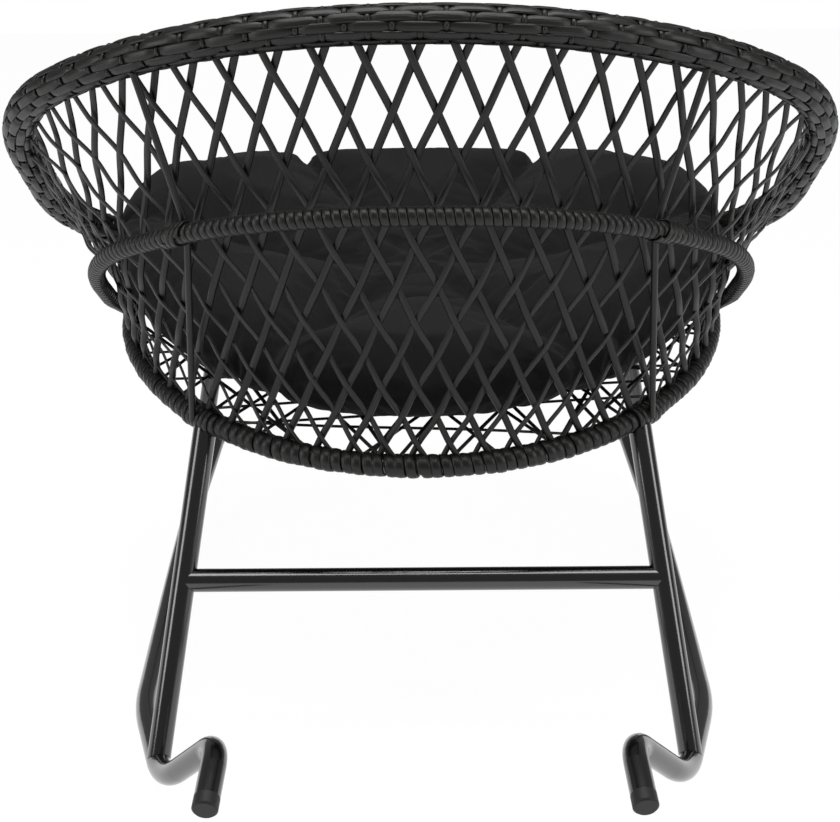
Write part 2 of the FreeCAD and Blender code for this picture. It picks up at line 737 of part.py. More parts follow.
def end_cap(end, outward):
    """A plug with a bevelled head in the open end of a runner."""
    straight = CAP_HEAD - CAP_EDGE
    outline = [(0, -CAP_PLUG), (bore - FLAT_GAP, -CAP_PLUG), (bore - FLAT_GAP, 0), (TUBE_RADIUS, 0),
               (TUBE_RADIUS, straight), (TUBE_RADIUS - CAP_EDGE, CAP_HEAD), (0, CAP_HEAD), (0, -CAP_PLUG)]
    profile = Part.Face(Part.makePolygon([Vector(radius, 0, along) for radius, along in outline]))
    cap = profile.revolve(Vector(0, 0, 0), Vector(0, 0, 1), 360)
    cap.Placement = FreeCAD.Placement(end, FreeCAD.Rotation(Vector(0, 0, 1), outward))
    return cap


tail, tail_way = runner.at(0.0)
toe, toe_way = runner.at(runner.length)
for name, shape in (("runner", pipe(runner, TUBE_RADIUS, bore)),
                    ("rear_leg", rear_leg), ("front_leg", front_leg),
                    ("rear_cap", end_cap(tail, -tail_way)), ("front_cap", end_cap(toe, toe_way))):
    nodes[name + "_left"] = [shape]
    nodes[name + "_right"] = [mirrored(shape)]


# Cushion
def rounded(flat, upright):
    """The middle of a quarter round between a level end and an upright one."""
    bulge = math.sqrt(0.5)
    return Vector(flat.x + (upright.x - flat.x) * bulge, 0, upright.z + (flat.z - upright.z) * bulge)


def bun(inset):
    """The cushion's round form, drawn in by an inset all over."""
    under = CUSHION_BELLY_HEIGHT - inset
    over = CUSHION_SHOULDER_HEIGHT - inset - CUSHION_BELLY_HEIGHT
    belly = Vector(CUSHION_RADIUS - inset, 0, CUSHION_BELLY_HEIGHT)
    foot = belly + Vector(-under, 0, -under)
    shoulder = belly + Vector(-over, 0, over)
    top = Vector(0, 0, CUSHION_THICKNESS - inset)
    bottom = Vector(0, 0, inset)
    rise = top.z - shoulder.z
    ball = (shoulder.x ** 2 + rise ** 2) / (2 * rise)
    half_angle = math.asin(shoulder.x / ball) / 2
    crown = Vector(ball * math.sin(half_angle), 0, top.z - ball * (1 - math.cos(half_angle)))
    outline = [Part.LineSegment(bottom, foot), Part.Arc(foot, rounded(foot, belly), belly),
               Part.Arc(belly, rounded(shoulder, belly), shoulder), Part.Arc(shoulder, crown, top),
               Part.LineSegment(top, bottom)]
    outline = [curve.toShape() for curve in outline]
    solid = Part.Face(Part.Wire(outline)).revolve(Vector(0, 0, 0), Vector(0, 0, 1), 360)
    base = RING_CENTRE - RING_BACKWARD * CUSHION_FORWARD
    base = base + RING_UP * (web_step + WEB_THICKNESS / 2 + SEAT_GAP)
    turned = FreeCAD.Rotation(Vector(0, 0, 1), RING_UP)
    solid.Placement = FreeCAD.Placement(base, turned)
    return solid


nodes["cushion_cover"] = [bun(0.0).cut(bun(COVER_THICKNESS))]
nodes["cushion_filling"] = [bun(COVER_THICKNESS + SLEEVE_GAP)]

# Origin on the floor under the middle of the chair
whole = Part.makeCompound([solid for solids in nodes.values() for solid in solids]).optimalBoundingBox()
to_origin = Vector(0, -(whole.YMin + whole.YMax) / 2, -whole.ZMin)
os.makedirs("parts", exist_ok=True)
for name, shapes in nodes.items():
    solids = [solid for shape in shapes for solid in shape.Solids]
    Part.makeCompound(solids).translated(to_origin).exportStep("parts/" + name + ".step")
print("origin moved by", round(to_origin.y, 2), round(to_origin.z, 2))
print("strands", len(laid_strands), len(woven_strands))
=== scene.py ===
# %% [markdown]
# # Rattan rocking chair, seen from behind
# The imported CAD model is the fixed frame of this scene. Each cell below dresses one part of the chair:
# the woven rim, the wound tubes, the open lattice, the seat web, the cushion and the coated steel.
# Everything is in metres, in the CAD model's own frame: +Z up, the front of the chair towards -Y.

# %% Load the frame
import math

import bmesh
import bpy
import numpy as np
from mathutils import Matrix, Vector


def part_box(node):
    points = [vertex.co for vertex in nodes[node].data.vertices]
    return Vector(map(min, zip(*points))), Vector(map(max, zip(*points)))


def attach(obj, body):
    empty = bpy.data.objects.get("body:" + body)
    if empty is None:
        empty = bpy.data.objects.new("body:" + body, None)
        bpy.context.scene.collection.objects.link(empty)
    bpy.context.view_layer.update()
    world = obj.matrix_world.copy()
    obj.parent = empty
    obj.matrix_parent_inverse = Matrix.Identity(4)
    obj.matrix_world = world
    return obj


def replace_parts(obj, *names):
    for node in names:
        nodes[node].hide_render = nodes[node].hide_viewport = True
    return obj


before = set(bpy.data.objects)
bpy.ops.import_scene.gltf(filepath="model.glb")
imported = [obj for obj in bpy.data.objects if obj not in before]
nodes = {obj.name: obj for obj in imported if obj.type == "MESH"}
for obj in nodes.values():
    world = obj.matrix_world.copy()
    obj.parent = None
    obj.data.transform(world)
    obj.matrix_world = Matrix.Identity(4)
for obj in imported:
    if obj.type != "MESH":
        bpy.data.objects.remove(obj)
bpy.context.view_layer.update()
scene = bpy.context.scene
scene.view_settings.view_transform = "Standard"

# %% [markdown]
# ## Camera
# The photograph was taken from behind and above with a short telephoto lens. The focal length is kept in
# pixels of an 840 pixel wide picture, because that is how it was worked out, and becomes millimetres here.

# %% Camera
IMAGE_WIDTH_PX = 840
FOCAL_PX = 1527
SENSOR_MM = 36
LOOKING_DOWN_DEG = 22.0
LEANING_DEG = 0.395
CAMERA_PLACE = (0.0027, 1.8667, 1.109)

lens = bpy.data.cameras.new("camera")
lens.sensor_width = SENSOR_MM
lens.lens = FOCAL_PX / IMAGE_WIDTH_PX * SENSOR_MM
camera = bpy.data.objects.new("camera", lens)
scene.collection.objects.link(camera)
facing_front = Matrix.Rotation(math.pi, 4, "Z")
tipped_down = Matrix.Rotation(math.radians(90 - LOOKING_DOWN_DEG), 4, "X")
leaning = Matrix.Rotation(-math.radians(LEANING_DEG), 4, "Z")
camera.matrix_world = Matrix.Translation(CAMERA_PLACE) @ facing_front @ tipped_down @ leaning
scene.camera = camera
print("lens", round(lens.lens, 2), "mm")

# %% [markdown]
# ## Two small helpers
# One function turns a written sRGB colour into the linear values that shaders use. The other adds a node,
# with its settings and its links, and serves for the materials and for Geometry Nodes alike.


# %% Colour and node helpers
def colour(hex_code):
    parts = [int(hex_code[k:k + 2], 16) / 255 for k in (1, 3, 5)]
    return [c / 12.92 if c <= 0.04045 else ((c + 0.055) / 1.055) ** 2.4 for c in parts] + [1.0]


def add_node(tree, kind, inputs=None, **settings):
    node = tree.nodes.new(kind)
    for name, value in settings.items():
        setattr(node, name, value)
    for socket, value in (inputs or {}).items():
        if isinstance(value, bpy.types.NodeSocket):
            tree.links.new(value, node.inputs[socket])
        else:
            node.inputs[socket].default_value = value
    return node


def new_material(name):
    material = bpy.data.materials.new(name)
    material.use_nodes = True
    tree = material.node_tree
    return material, tree, tree.nodes["Principled BSDF"]


# %% [markdown]
# ## Finishes
# Resin rattan is extruded polyethylene: a dyed, slightly waxy plastic with fine grooves drawn along each
# strand. The strands carry two attributes of their own, the place along and across them, so the grooves
# follow every bend. The steel is powder coated: smooth, glossy and with a faint orange peel. The caps are
# moulded plastic with a fine grain. The cushion is a plain woven polyester with a soft sheen.

# %% Resin rattan
GROOVES_ACROSS = 7
GRAIN_LENGTH = 0.045
rattan, tree, shader = new_material("extruded_resin_rattan")
across = add_node(tree, "ShaderNodeAttribute", attribute_name="across")
along = add_node(tree, "ShaderNodeAttribute", attribute_name="along")
drawn = add_node(tree, "ShaderNodeMath", {0: along.outputs["Fac"], 1: 1 / GRAIN_LENGTH},
                 operation="MULTIPLY")
grooved = add_node(tree, "ShaderNodeMath", {0: across.outputs["Fac"], 1: GROOVES_ACROSS},
                   operation="MULTIPLY")
grain_place = add_node(tree, "ShaderNodeCombineXYZ", {"X": grooved.outputs[0], "Y": drawn.outputs[0]})
grain = add_node(tree, "ShaderNodeTexNoise",
                 {"Vector": grain_place.outputs[0], "Scale": 1.0, "Detail": 3.0}, noise_dimensions="2D")
place = add_node(tree, "ShaderNodeTexCoord")
patches = add_node(tree, "ShaderNodeTexNoise",
                   {"Vector": place.outputs["Object"], "Scale": 35.0, "Detail": 2.0})
shades = add_node(tree, "ShaderNodeMix", {"Factor": patches.outputs["Fac"], "A": colour("#0E0D0C"),
                                          "B": colour("#1F1C1A")}, data_type="RGBA")
tint = add_node(tree, "ShaderNodeMix", {"Factor": grain.outputs["Fac"], "A": shades.outputs["Result"],
                                        "B": colour("#141211")}, data_type="RGBA")
gloss = add_node(tree, "ShaderNodeMapRange", {"Value": grain.outputs["Fac"], "To Min": 0.3, "To Max": 0.5})
relief = add_node(tree, "ShaderNodeBump", {"Height": grain.outputs["Fac"], "Strength": 0.5,
                                           "Distance": 0.0006})
tree.links.new(tint.outputs["Result"], shader.inputs["Base Color"])
tree.links.new(gloss.outputs["Result"], shader.inputs["Roughness"])
tree.links.new(relief.outputs["Normal"], shader.inputs["Normal"])
shader.inputs["IOR"].default_value = 1.51
shader.inputs["Specular IOR Level"].default_value = 0.42
print("rattan nodes", len(tree.nodes))

# %% Powder-coated steel
ORANGE_PEEL_MM = 2.5
steel, tree, shader = new_material("powder_coated_steel")
place = add_node(tree, "ShaderNodeTexCoord")
peel = add_node(tree, "ShaderNodeTexNoise",
                {"Vector": place.outputs["Object"], "Scale": 1000 / ORANGE_PEEL_MM, "Detail": 2.0})
dust = add_node(tree, "ShaderNodeTexNoise",
                {"Vector": place.outputs["Object"], "Scale": 18.0, "Detail": 4.0})
film = add_node(tree, "ShaderNodeMix", {"Factor": dust.outputs["Fac"], "A": colour("#050505"),
                                        "B": colour("#0C0B0B")}, data_type="RGBA")
gloss = add_node(tree, "ShaderNodeMapRange", {"Value": dust.outputs["Fac"], "To Min": 0.13, "To Max": 0.22})
relief = add_node(tree, "ShaderNodeBump", {"Height": peel.outputs["Fac"], "Strength": 0.06,
                                           "Distance": 0.0003})
tree.links.new(film.outputs["Result"], shader.inputs["Base Color"])
tree.links.new(gloss.outputs["Result"], shader.inputs["Roughness"])
tree.links.new(relief.outputs["Normal"], shader.inputs["Normal"])
shader.inputs["IOR"].default_value = 1.55
shader.inputs["Specular IOR Level"].default_value = 0.75
shader.inputs["Coat Weight"].default_value = 0.5
shader.inputs["Coat Roughness"].default_value = 0.08
print("steel nodes", len(tree.nodes))

# %% Moulded cap plastic
plug, tree, shader = new_material("moulded_cap_plastic")
place = add_node(tree, "ShaderNodeTexCoord")
grit = add_node(tree, "ShaderNodeTexNoise",
                {"Vector": place.outputs["Object"], "Scale": 900.0, "Detail": 2.0})
shade = add_node(tree, "ShaderNodeMix", {"Factor": grit.outputs["Fac"], "A": colour("#161616"),
                                         "B": colour("#262525")}, data_type="RGBA")
relief = add_node(tree, "ShaderNodeBump", {"Height": grit.outputs["Fac"], "Strength": 0.25,
                                           "Distance": 0.0004})
tree.links.new(shade.outputs["Result"], shader.inputs["Base Color"])
tree.links.new(relief.outputs["Normal"], shader.inputs["Normal"])
shader.inputs["Roughness"].default_value = 0.55
print("cap nodes", len(tree.nodes))

# %% Cushion cloth
THREAD_MM = 1.6
cloth, tree, shader = new_material("woven_polyester_cloth")
place = add_node(tree, "ShaderNodeTexCoord")
warp = add_node(tree, "ShaderNodeTexWave", {"Vector": place.outputs["Object"],
                                            "Scale": 1000 / THREAD_MM / math.tau * 2, "Distortion": 0.6},
                bands_direction="X")
weft = add_node(tree, "ShaderNodeTexWave", {"Vector": place.outputs["Object"],
                                            "Scale": 1000 / THREAD_MM / math.tau * 2, "Distortion": 0.6},
                bands_direction="Y")
threads = add_node(tree, "ShaderNodeMath", {0: warp.outputs["Fac"], 1: weft.outputs["Fac"]},
                   operation="ADD")
fade = add_node(tree, "ShaderNodeTexNoise",
                {"Vector": place.outputs["Object"], "Scale": 14.0, "Detail": 5.0})
shade = add_node(tree, "ShaderNodeMix", {"Factor": fade.outputs["Fac"], "A": colour("#0D0D0E"),
                                         "B": colour("#181717")}, data_type="RGBA")
relief = add_node(tree, "ShaderNodeBump", {"Height": threads.outputs[0], "Strength": 0.3,
                                           "Distance": 0.0005})
tree.links.new(shade.outputs["Result"], shader.inputs["Base Color"])
tree.links.new(relief.outputs["Normal"], shader.inputs["Normal"])
shader.inputs["Roughness"].default_value = 0.92
shader.inputs["Specular IOR Level"].default_value = 0.25
shader.inputs["Sheen Weight"].default_value = 0.05
print("cloth nodes", len(tree.nodes))

# %% [markdown]
# ## The bent tubes' centre lines
# The rim, the hoop and the ring are tubes bent from straight runs with tangent arcs. The weave follows
# their centre lines, so the same bends are laid out here as evenly spaced points, each with its direction
# and two directions across it that turn as little as possible on the way.

# %% Paths of the bent tubes
STEP = 0.002
ARC_POINTS = 60


def unit(vectors):
    return vectors / np.linalg.norm(vectors, axis=-1, keepdims=True)


def evenly(points, step):
    points = np.array(points)
    runs = np.concatenate([[0.0], np.cumsum(np.linalg.norm(np.diff(points, axis=0), axis=1))])
    stops = np.linspace(0.0, runs[-1], max(2, round(runs[-1] / step) + 1))
    return np.stack([np.interp(stops, runs, points[:, k]) for k in range(3)], axis=1)


class TubePath:
    def __init__(self, corners, radii, closed=False):
        bends = list(zip(corners, radii))
        start, end = corners[0], corners[-1]
        if closed:
            start = end = (corners[0] + corners[-1]) / 2
        else:
            bends = bends[1:-1]
        points = [start]
        for index, (corner, radius) in enumerate(bends):
            following = bends[index + 1][0] if index + 1 < len(bends) else end
            arriving, leaving = unit(corner - points[-1]), unit(following - corner)
            turn = math.acos(arriving @ leaving)
            inside = unit(leaving - arriving * (arriving @ leaving))
            centre = corner - arriving * radius * math.tan(turn / 2) + inside * radius
            for angle in np.linspace(0.0, turn, ARC_POINTS):
                points.append(centre + radius * (math.sin(angle) * arriving - math.cos(angle) * inside))
        points.append(end)
        self.closed = closed
        self.points = evenly(points, STEP)
        self.length = np.linalg.norm(np.diff(self.points, axis=0), axis=1).sum()
        self.way = unit(np.gradient(self.points, axis=0))
        if closed:
            self.way[0] = self.way[-1] = unit(self.points[1] - self.points[-2])
        self.side = np.zeros_like(self.points)
        middle = len(self.points) // 2
        outward = self.points[middle] * [1, 1, 0]
        self.side[middle] = unit(outward - self.way[middle] * (outward @ self.way[middle]))
        for order, before in ((range(middle + 1, len(self.points)), -1), (range(middle - 1, -1, -1), 1)):
            for k in order:
                carried = self.side[k + before]
                self.side[k] = unit(carried - self.way[k] * (carried @ self.way[k]))
        self.lift = np.cross(self.way, self.side)

    def row(self, rows, distance):
        stops = np.linspace(0.0, self.length, len(self.points))
        distance = np.clip(distance, 0.0, self.length)
        return np.stack([np.interp(distance, stops, rows[:, k]) for k in range(3)], axis=-1)

    def at(self, distance):
        return self.row(self.points, distance)

    def around(self, distance, angle, radius):
        """Points at an angle and a radius round the centre line, and their outward directions."""
        side, lift = self.row(self.side, distance), self.row(self.lift, distance)
        outward = unit(side * np.cos(angle)[:, None] + lift * np.sin(angle)[:, None])
        return self.at(distance) + outward * np.broadcast_to(radius, angle.shape)[:, None], outward

    def nearest(self, points):
        apart = np.linalg.norm(points[:, None, :] - self.points[None, ::4, :], axis=2)
        return apart.min(axis=1), self.points[::4][apart.argmin(axis=1)]


# %% Seat ring, rim and back hoop
RING_HALF_WIDTH, RING_HALF_DEPTH = 0.392, 0.416
RING_REAR_HEIGHT, RING_TILT_DEG = 0.394, 9.6
RING_WRAP_RADIUS = 0.014
RING_CORNERS = 8
tilt = math.radians(RING_TILT_DEG)
ring_backward = np.array([0.0, math.cos(tilt), -math.sin(tilt)])
ring_up = np.array([0.0, math.sin(tilt), math.cos(tilt)])
ring_box = [np.array(corner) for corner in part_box("seat_ring_tube")]
ring_centre = (ring_box[0] + ring_box[1]) / 2
ring_rear = ring_centre + ring_backward * RING_HALF_DEPTH
floor_drop = RING_REAR_HEIGHT - ring_rear[2]


def ring_path():
    half_step = math.pi / RING_CORNERS
    outward = 1 / math.cos(half_step)
    corners = []
    for index in range(RING_CORNERS):
        angle = half_step * (2 * index + 1)
        side = RING_HALF_WIDTH * math.sin(angle) * outward
        back = RING_HALF_DEPTH * math.cos(angle) * outward
        corners.append(ring_centre + np.array([side, 0, 0]) + ring_backward * back)
    radii = []
    for index, corner in enumerate(corners):
        before, after = corners[index - 1] - corner, corners[(index + 1) % RING_CORNERS] - corner
        tangent = min(np.linalg.norm(before), np.linalg.norm(after)) / 2
        turn = math.pi - math.acos(unit(before) @ unit(after))
        radii.append(tangent / math.tan(turn / 2))
    return TubePath(corners, radii, True)


def sloped(side, reach, rear, slope_deg):
    """A point of a plane that falls from the back of the chair to its front."""
    fall = math.radians(slope_deg)
    return np.array([side, rear[1] - reach * math.cos(fall), rear[2] - reach * math.sin(fall)])


def arch(landing, half, radii):
    """A symmetric tube from the ring's right side, round the back, to its left side."""
    points = [landing] + half
    mirrored = [p * [-1, 1, 1] for p in points]
    return TubePath(mirrored + points[::-1], radii + radii[::-1])


ring = ring_path()


def ring_at(angle_deg):
    return ring.at(np.asarray(angle_deg) % 360.0 / 360.0 * ring.length)


RIM_HALF_WIDTH, RIM_BACK_HALF, RIM_BEHIND_RING = 0.489, 0.248, 0.050
RIM_REAR_HEIGHT, RIM_SLOPE_DEG = 0.898, 29.0
RIM_CORNER_REACH, RIM_ARM_REACH, RIM_ARM_SAG = 0.270, 0.543, 0.049
RIM_BENDS = [0.0, 0.216, 0.313, 0.536]
RIM_LANDING_DEG = 113.0
RIM_SLEEVE_RADIUS = 0.0215
rim_rear = np.array([0, ring_rear[1] + RIM_BEHIND_RING, RIM_REAR_HEIGHT - floor_drop])
rim_arm = sloped(RIM_HALF_WIDTH, RIM_ARM_REACH, rim_rear, RIM_SLOPE_DEG) - [0, 0, RIM_ARM_SAG]
rim = arch(ring_at(RIM_LANDING_DEG),
           [rim_arm, sloped(RIM_HALF_WIDTH, RIM_CORNER_REACH, rim_rear, RIM_SLOPE_DEG),
            sloped(RIM_BACK_HALF, 0.0, rim_rear, RIM_SLOPE_DEG)], RIM_BENDS)

HOOP_HALF_WIDTH, HOOP_BACK_HALF, HOOP_BEHIND_RING = 0.404, 0.185, 0.060
HOOP_REAR_HEIGHT, HOOP_SLOPE_DEG = 0.704, 26.8
HOOP_CORNER_REACH, HOOP_SIDE_HALF_WIDTH = 0.230, 0.402
HOOP_SIDE_REACH, HOOP_SIDE_SAG = 0.389, 0.022
HOOP_BENDS = [0.0, 0.053, 0.290, 0.368]
HOOP_LANDING_DEG = 86.0
HOOP_WRAP_RADIUS = 0.011
hoop_rear = np.array([0, ring_rear[1] + HOOP_BEHIND_RING, HOOP_REAR_HEIGHT - floor_drop])
hoop_side = sloped(HOOP_SIDE_HALF_WIDTH, HOOP_SIDE_REACH, hoop_rear, HOOP_SLOPE_DEG) - [0, 0, HOOP_SIDE_SAG]
hoop = arch(ring_at(HOOP_LANDING_DEG),
            [hoop_side, sloped(HOOP_HALF_WIDTH, HOOP_CORNER_REACH, hoop_rear, HOOP_SLOPE_DEG),
             sloped(HOOP_BACK_HALF, 0.0, hoop_rear, HOOP_SLOPE_DEG)], HOOP_BENDS)
for path, node in ((ring, "seat_ring_tube"), (rim, "rim_tube"), (hoop, "back_hoop_tube")):
    print(node, "length", round(path.length, 3), path.points.min(0).round(3), path.points.max(0).round(3))

# %% [markdown]
# ## One strand, swept along any line
# Rim weave, windings, lattice and seat web are all the same flat strand led along different lines. A
# Geometry Nodes tree turns the lines' edges into curves, faces the curves outwards by an attribute, and
# sweeps a flat oval along them. It stores the place along and across each strand for the grooves.

# %% Strand tree
STRAND_SIDES = 8


def flat_strand_tree():
    tree = bpy.data.node_groups.new("flat_strand", "GeometryNodeTree")
    for name, kind in (("Lines", "Geometry"), ("Width", "Float"), ("Thickness", "Float"), ("Sides", "Int"),
                       ("Finish", "Material")):
        tree.interface.new_socket(name, in_out="INPUT", socket_type="NodeSocket" + kind)
    tree.interface.new_socket("Strands", in_out="OUTPUT", socket_type="NodeSocketGeometry")
    given = add_node(tree, "NodeGroupInput")
    curves = add_node(tree, "GeometryNodeMeshToCurve", {"Mesh": given.outputs["Lines"]})
    outward = add_node(tree, "GeometryNodeInputNamedAttribute", {"Name": "outward"},
                       data_type="FLOAT_VECTOR")
    faced = add_node(tree, "GeometryNodeSetCurveNormal",
                     {"Curve": curves.outputs["Curve"], "Normal": outward.outputs["Attribute"]},
                     mode="FREE")
    travelled = add_node(tree, "GeometryNodeSplineParameter")
    marked = add_node(tree, "GeometryNodeStoreNamedAttribute",
                      {"Geometry": faced.outputs["Curve"], "Name": "along",
                       "Value": travelled.outputs["Length"]}, data_type="FLOAT", domain="POINT")
    oval = add_node(tree, "GeometryNodeCurvePrimitiveCircle",
                    {"Resolution": given.outputs["Sides"], "Radius": 0.5}, mode="RADIUS")
    spot = add_node(tree, "GeometryNodeInputPosition")
    split = add_node(tree, "ShaderNodeSeparateXYZ", {"Vector": spot.outputs["Position"]})
    measured = add_node(tree, "GeometryNodeStoreNamedAttribute",
                        {"Geometry": oval.outputs["Curve"], "Name": "across", "Value": split.outputs["Y"]},
                        data_type="FLOAT", domain="POINT")
    size = add_node(tree, "ShaderNodeCombineXYZ",
                    {"X": given.outputs["Thickness"], "Y": given.outputs["Width"], "Z": 1.0})
    flat = add_node(tree, "GeometryNodeTransform",
                    {"Geometry": measured.outputs["Geometry"], "Scale": size.outputs["Vector"]})
    swept = add_node(tree, "GeometryNodeCurveToMesh",
                     {"Curve": marked.outputs["Geometry"], "Profile Curve": flat.outputs["Geometry"],
                      "Fill Caps": True})
    smooth = add_node(tree, "GeometryNodeSetShadeSmooth", {"Geometry": swept.outputs["Mesh"]})
    whole = add_node(tree, "GeometryNodeRealizeInstances", {"Geometry": smooth.outputs["Geometry"]})
    finished = add_node(tree, "GeometryNodeSetMaterial",
                        {"Geometry": whole.outputs["Geometry"], "Material": given.outputs["Finish"]})
    add_node(tree, "NodeGroupOutput", {"Strands": finished.outputs["Geometry"]})
    return tree


strand_tree = flat_strand_tree()
strand_inputs = {item.name: item.identifier for item in strand_tree.interface.items_tree
                 if item.in_out == "INPUT"}


def strands(name, lines, width, thickness, sides=STRAND_SIDES, finish=rattan):
    """A mesh object of flat strands. Each line is its points and their outward directions."""
    points = np.concatenate([line[0] for line in lines])
    outward = np.concatenate([line[1] for line in lines])
    edges, first = [], 0
    for line in lines:
        count = len(line[0])
        edges += [(first + k, first + k + 1) for k in range(count - 1)]
        first += count
    mesh = bpy.data.meshes.new(name)
    mesh.from_pydata(points.tolist(), edges, [])
    facing = mesh.attributes.new("outward", "FLOAT_VECTOR", "POINT")
    facing.data.foreach_set("vector", outward.astype(np.float32).ravel())
    piece = bpy.data.objects.new(name, mesh)
    scene.collection.objects.link(piece)
    sweep = piece.modifiers.new("sweep", "NODES")
    sweep.node_group = strand_tree
    for label, value in (("Width", width), ("Thickness", thickness), ("Sides", sides), ("Finish", finish)):
        sweep[strand_inputs[label]] = value
    graph = bpy.context.evaluated_depsgraph_get()
    swept = bpy.data.meshes.new_from_object(piece.evaluated_get(graph), preserve_all_data_layers=True,
                                            depsgraph=graph)
    piece.modifiers.clear()
    piece.data = swept
    swept.name = name
    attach(piece, "frame")
    print(name, len(lines), "lines", len(swept.polygons), "faces")
    return piece


# %% [markdown]
# ## Woven rim
# The rim is a tube inside a plain weave: long strands side by side run the length of the tube, and short
# stakes go round it. Each long strand floats over one stake and dips under the next, and its neighbour
# does the opposite. The dips are short, so the floats meet almost end to end, like bricks.

# %% Woven rim
RIM_ROWS = 12
STAKE_PITCH = 0.0245
ROW_THICKNESS, STAKE_WIDTH, STAKE_THICKNESS = 0.0038, 0.0060, 0.0028
ROW_CENTRE = RIM_SLEEVE_RADIUS - 0.0028
DIP_DEPTH, DIP_LENGTH = 0.0035, 0.0070
STAKE_HIGH, STAKE_LOW = 0.0004, 0.0032
ROW_STEP = 0.005
ROW_OVERLAP = 1.16
ROW_WANDER, ROW_WAVES = 0.06, 23
STAKE_DISORDER = 0.12
STAKE_SIDES = 6
rng = np.random.default_rng(11)

stake_count = int(rim.length / STAKE_PITCH)
disorder = rng.uniform(-STAKE_DISORDER, STAKE_DISORDER, stake_count)
stakes = (np.arange(stake_count) + 0.5 + disorder) * rim.length / stake_count
row_width = math.tau * ROW_CENTRE / RIM_ROWS * ROW_OVERLAP
row_lines, stake_lines = [], []
for row in range(RIM_ROWS):
    distance = np.linspace(0.0, rim.length, round(rim.length / ROW_STEP))
    under = stakes[row % 2::2]
    to_dip = np.abs(distance[:, None] - under[None, :]).min(axis=1)
    radius = ROW_CENTRE - DIP_DEPTH * np.exp(-(to_dip / DIP_LENGTH) ** 2)
    angle = math.tau * row / RIM_ROWS + ROW_WANDER * np.sin(distance * ROW_WAVES + row * 1.7)
    row_lines.append(rim.around(distance, angle, radius))
for index, stake in enumerate(stakes):
    angle = np.linspace(0.0, math.tau, RIM_ROWS * 4 + 1)
    high = 0.5 - 0.5 * np.cos(angle * RIM_ROWS / 2 + math.pi * (1 + index % 2))
    radius = ROW_CENTRE - STAKE_LOW + (STAKE_LOW + STAKE_HIGH) * high
    stake_lines.append(rim.around(np.full_like(angle, stake), angle, radius))
rim_weave = strands("rim_weave_rows", row_lines, row_width, ROW_THICKNESS)
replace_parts(rim_weave, "rim_woven_sleeve")
strands("rim_weave_stakes", stake_lines, STAKE_WIDTH, STAKE_THICKNESS, STAKE_SIDES)

# %% [markdown]
# ## Wound tubes
# The hoop is wound with one strand, turn against turn. The ring is wound more coarsely, because the
# lattice strands are tied into its winding, so its turns bulge unevenly.


# %% Windings
TURN_POINTS = 18
BULGE = 0.0022


def winding(path, start, end, radius, pitch, unevenness, seed):
    """One strand wound round a stretch of tube, as a line that bulges a little from turn to turn."""
    turns = (end - start) / pitch
    count = int(turns * TURN_POINTS)
    rng = np.random.default_rng(seed)
    turn = np.linspace(0.0, turns, count)
    knots = rng.uniform(-1, 1, int(turns) + 3)
    bulge = np.interp(turn, np.arange(len(knots)), knots)
    drift = np.interp(turn, np.arange(len(knots)), rng.uniform(-1, 1, len(knots)))
    distance = start + (end - start) * turn / turns + drift * unevenness * pitch * 0.5
    return path.around(distance, turn * math.tau, radius + bulge * unevenness * BULGE)


HOOP_WIND_PITCH, HOOP_WIND_THICKNESS = 0.0097, 0.0034
RING_WIND_PITCH, RING_WIND_THICKNESS = 0.0122, 0.0042
HOOP_END_ROOM = 0.012
HOOP_WIND_SUNK, RING_WIND_SUNK = 0.0017, 0.0018
HOOP_WIND_OVERLAP, RING_WIND_OVERLAP = 1.06, 1.08
HOOP_UNEVENNESS, RING_UNEVENNESS = 0.05, 0.28
hoop_turns = winding(hoop, HOOP_END_ROOM, hoop.length - HOOP_END_ROOM, HOOP_WRAP_RADIUS - HOOP_WIND_SUNK,
                     HOOP_WIND_PITCH, HOOP_UNEVENNESS, 3)
hoop_wind = strands("back_hoop_winding", [hoop_turns], HOOP_WIND_PITCH * HOOP_WIND_OVERLAP,
                    HOOP_WIND_THICKNESS)
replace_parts(hoop_wind, "back_hoop_wrap")
ring_turns = winding(ring, 0.0, ring.length, RING_WRAP_RADIUS - RING_WIND_SUNK, RING_WIND_PITCH,
                     RING_UNEVENNESS, 5)
ring_wind = strands("seat_ring_winding", [ring_turns], RING_WIND_PITCH * RING_WIND_OVERLAP,
                    RING_WIND_THICKNESS)
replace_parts(ring_wind, "seat_ring_wrap")

# %% [markdown]
# ## Strut bindings and lashings
# Where a strut meets the ring, a short stretch of the ring is wound once more on top, by the same function
# as the windings. Where it passes the hoop, a few slanted turns go round both, with a radius that grows on
# the side where the strut lies.

# %% Bindings and lashings
BINDING_LENGTH, BINDING_RADIUS, BINDING_PITCH = 0.044, 0.0165, 0.0078
LASHING_LENGTH, LASHING_PITCH, LASHING_RADIUS = 0.020, 0.0068, 0.0126
STRUT_BEYOND_HOOP = 0.0095
BINDING_THICKNESS, BINDING_SUNK, BINDING_UNEVENNESS = 0.003, 0.0012, 0.2
LASHING_THICKNESS, LASHING_SLANT = 0.0026, 0.006
BINDING_OVERLAP, LASHING_OVERLAP = 1.08, 1.05
LASHING_POINTS = 72


def place_along(path, node):
    """How far along a path the middle of a CAD node is."""
    low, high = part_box(node)
    middle = (np.array(low) + np.array(high)) / 2
    return np.linalg.norm(path.points - middle, axis=1).argmin() / (len(path.points) - 1) * path.length


